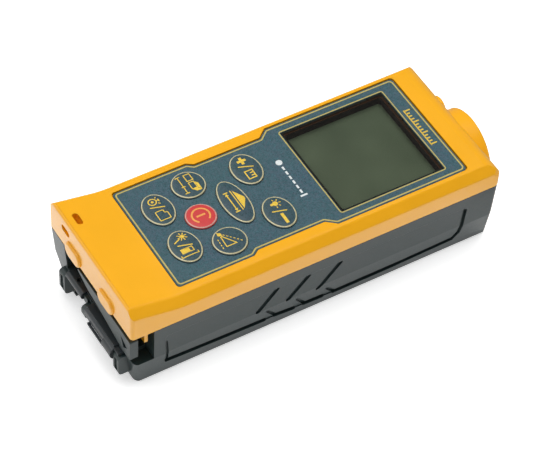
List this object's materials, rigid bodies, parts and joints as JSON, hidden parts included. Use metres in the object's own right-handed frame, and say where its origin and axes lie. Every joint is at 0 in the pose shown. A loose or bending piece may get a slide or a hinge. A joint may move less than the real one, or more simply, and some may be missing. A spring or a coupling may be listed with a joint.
{
  "type": "laser distance meter",
  "caption": "Hand-held laser distance meter with sloped two-tone case, display, eight keys, round receiver bezel, fold-out end bracket and sliding battery door.",
  "frame": {"origin": "on the flat back, midway across the width and 59 mm forward of the rear end of the shells; the meter lies on its back with the display up", "axes": "+Y towards the laser and receiver end, +Z out of the display, +X to the side with the finger gap of the end bracket"},
  "size_m": [0.0476, 0.1254, 0.0334],
  "materials": {
    "yellow_shell": "satin moulded ABS",
    "grey_shell": "satin moulded ABS",
    "black_plastic": "satin",
    "red_key": "satin",
    "panel_blue": "fine grained film",
    "clear_glass": "polished",
    "lcd": "glossy",
    "white_diffuser": "matte",
    "circuit_board": "solder mask",
    "steel": "nickel plated",
    "battery_wrap": "shrink wrap",
    "brass": "turned",
    "rubber": "matte",
    "film": "matte",
    "component_black": "matte",
    "component_red": "matte"
  },
  "bodies": {
    "housing": {"battery_contacts": "steel", "battery_left": "battery_wrap", "battery_right": "battery_wrap", "battery_springs": "steel", "board_screws": "steel", "bottom_shell": "grey_shell", "bracket_pin": "steel", "bracket_sensor_plunger": "component_red", "buzzer": "component_black", "case_screws": "steel", "case_seal": "rubber", "collimator_lens": "clear_glass", "detector_board": "circuit_board", "display_backlight": "white_diffuser", "display_connector": "rubber", "display_glass": "lcd", "display_window": "clear_glass", "dome_carrier_film": "film", "front_bezel": "yellow_shell", "key_panel": "panel_blue", "laser_barrel": "brass", "laser_diode": "component_black", "laser_window": "clear_glass", "main_circuit_board": "circuit_board", "optics_carrier": "black_plastic", "optics_screws": "steel", "photodiode": "component_black", "processor": "component_black", "receiver_lens": "clear_glass", "switch_domes": "steel", "top_shell": "yellow_shell"},
    "battery_door": {"battery_door": "grey_shell"},
    "end_bracket": {"end_bracket": "grey_shell", "bracket_hinge_bar": "black_plastic"},
    "button_area_volume": {"button_area_volume": "panel_blue"},
    "button_light_minus": {"button_light_minus": "panel_blue"},
    "button_measure": {"button_measure": "panel_blue"},
    "button_plus_unit": {"button_plus_unit": "panel_blue"},
    "button_power": {"button_power": "red_key"},
    "button_pythagoras": {"button_pythagoras": "panel_blue"},
    "button_reference": {"button_reference": "panel_blue"},
    "button_timer": {"button_timer": "panel_blue"}
  },
  "joints": [
    {"name": "battery_door_slide", "type": "slide", "parent": "housing", "child": "battery_door", "axis": [0, -1, 0], "range_m": [0, 0.046]},
    {"name": "bracket_fold", "type": "hinge", "parent": "housing", "child": "end_bracket", "pos_m": [0, -0.0592, 0.0092], "axis": [1, 0, 0], "range_deg": [0, 90]},
    {"name": "press_area_volume", "type": "slide", "parent": "housing", "child": "button_area_volume", "axis": [0, 0, -1], "range_m": [0, 0.0006]},
    {"name": "press_light_minus", "type": "slide", "parent": "housing", "child": "button_light_minus", "axis": [0, 0, -1], "range_m": [0, 0.0006]},
    {"name": "press_measure", "type": "slide", "parent": "housing", "child": "button_measure", "axis": [0, 0, -1], "range_m": [0, 0.0006]},
    {"name": "press_plus_unit", "type": "slide", "parent": "housing", "child": "button_plus_unit", "axis": [0, 0, -1], "range_m": [0, 0.0006]},
    {"name": "press_power", "type": "slide", "parent": "housing", "child": "button_power", "axis": [0, 0, -1], "range_m": [0, 0.0006]},
    {"name": "press_pythagoras", "type": "slide", "parent": "housing", "child": "button_pythagoras", "axis": [0, 0, -1], "range_m": [0, 0.0006]},
    {"name": "press_reference", "type": "slide", "parent": "housing", "child": "button_reference", "axis": [0, 0, -1], "range_m": [0, 0.0006]},
    {"name": "press_timer", "type": "slide", "parent": "housing", "child": "button_timer", "axis": [0, 0, -1], "range_m": [0, 0.0006]}
  ]
}
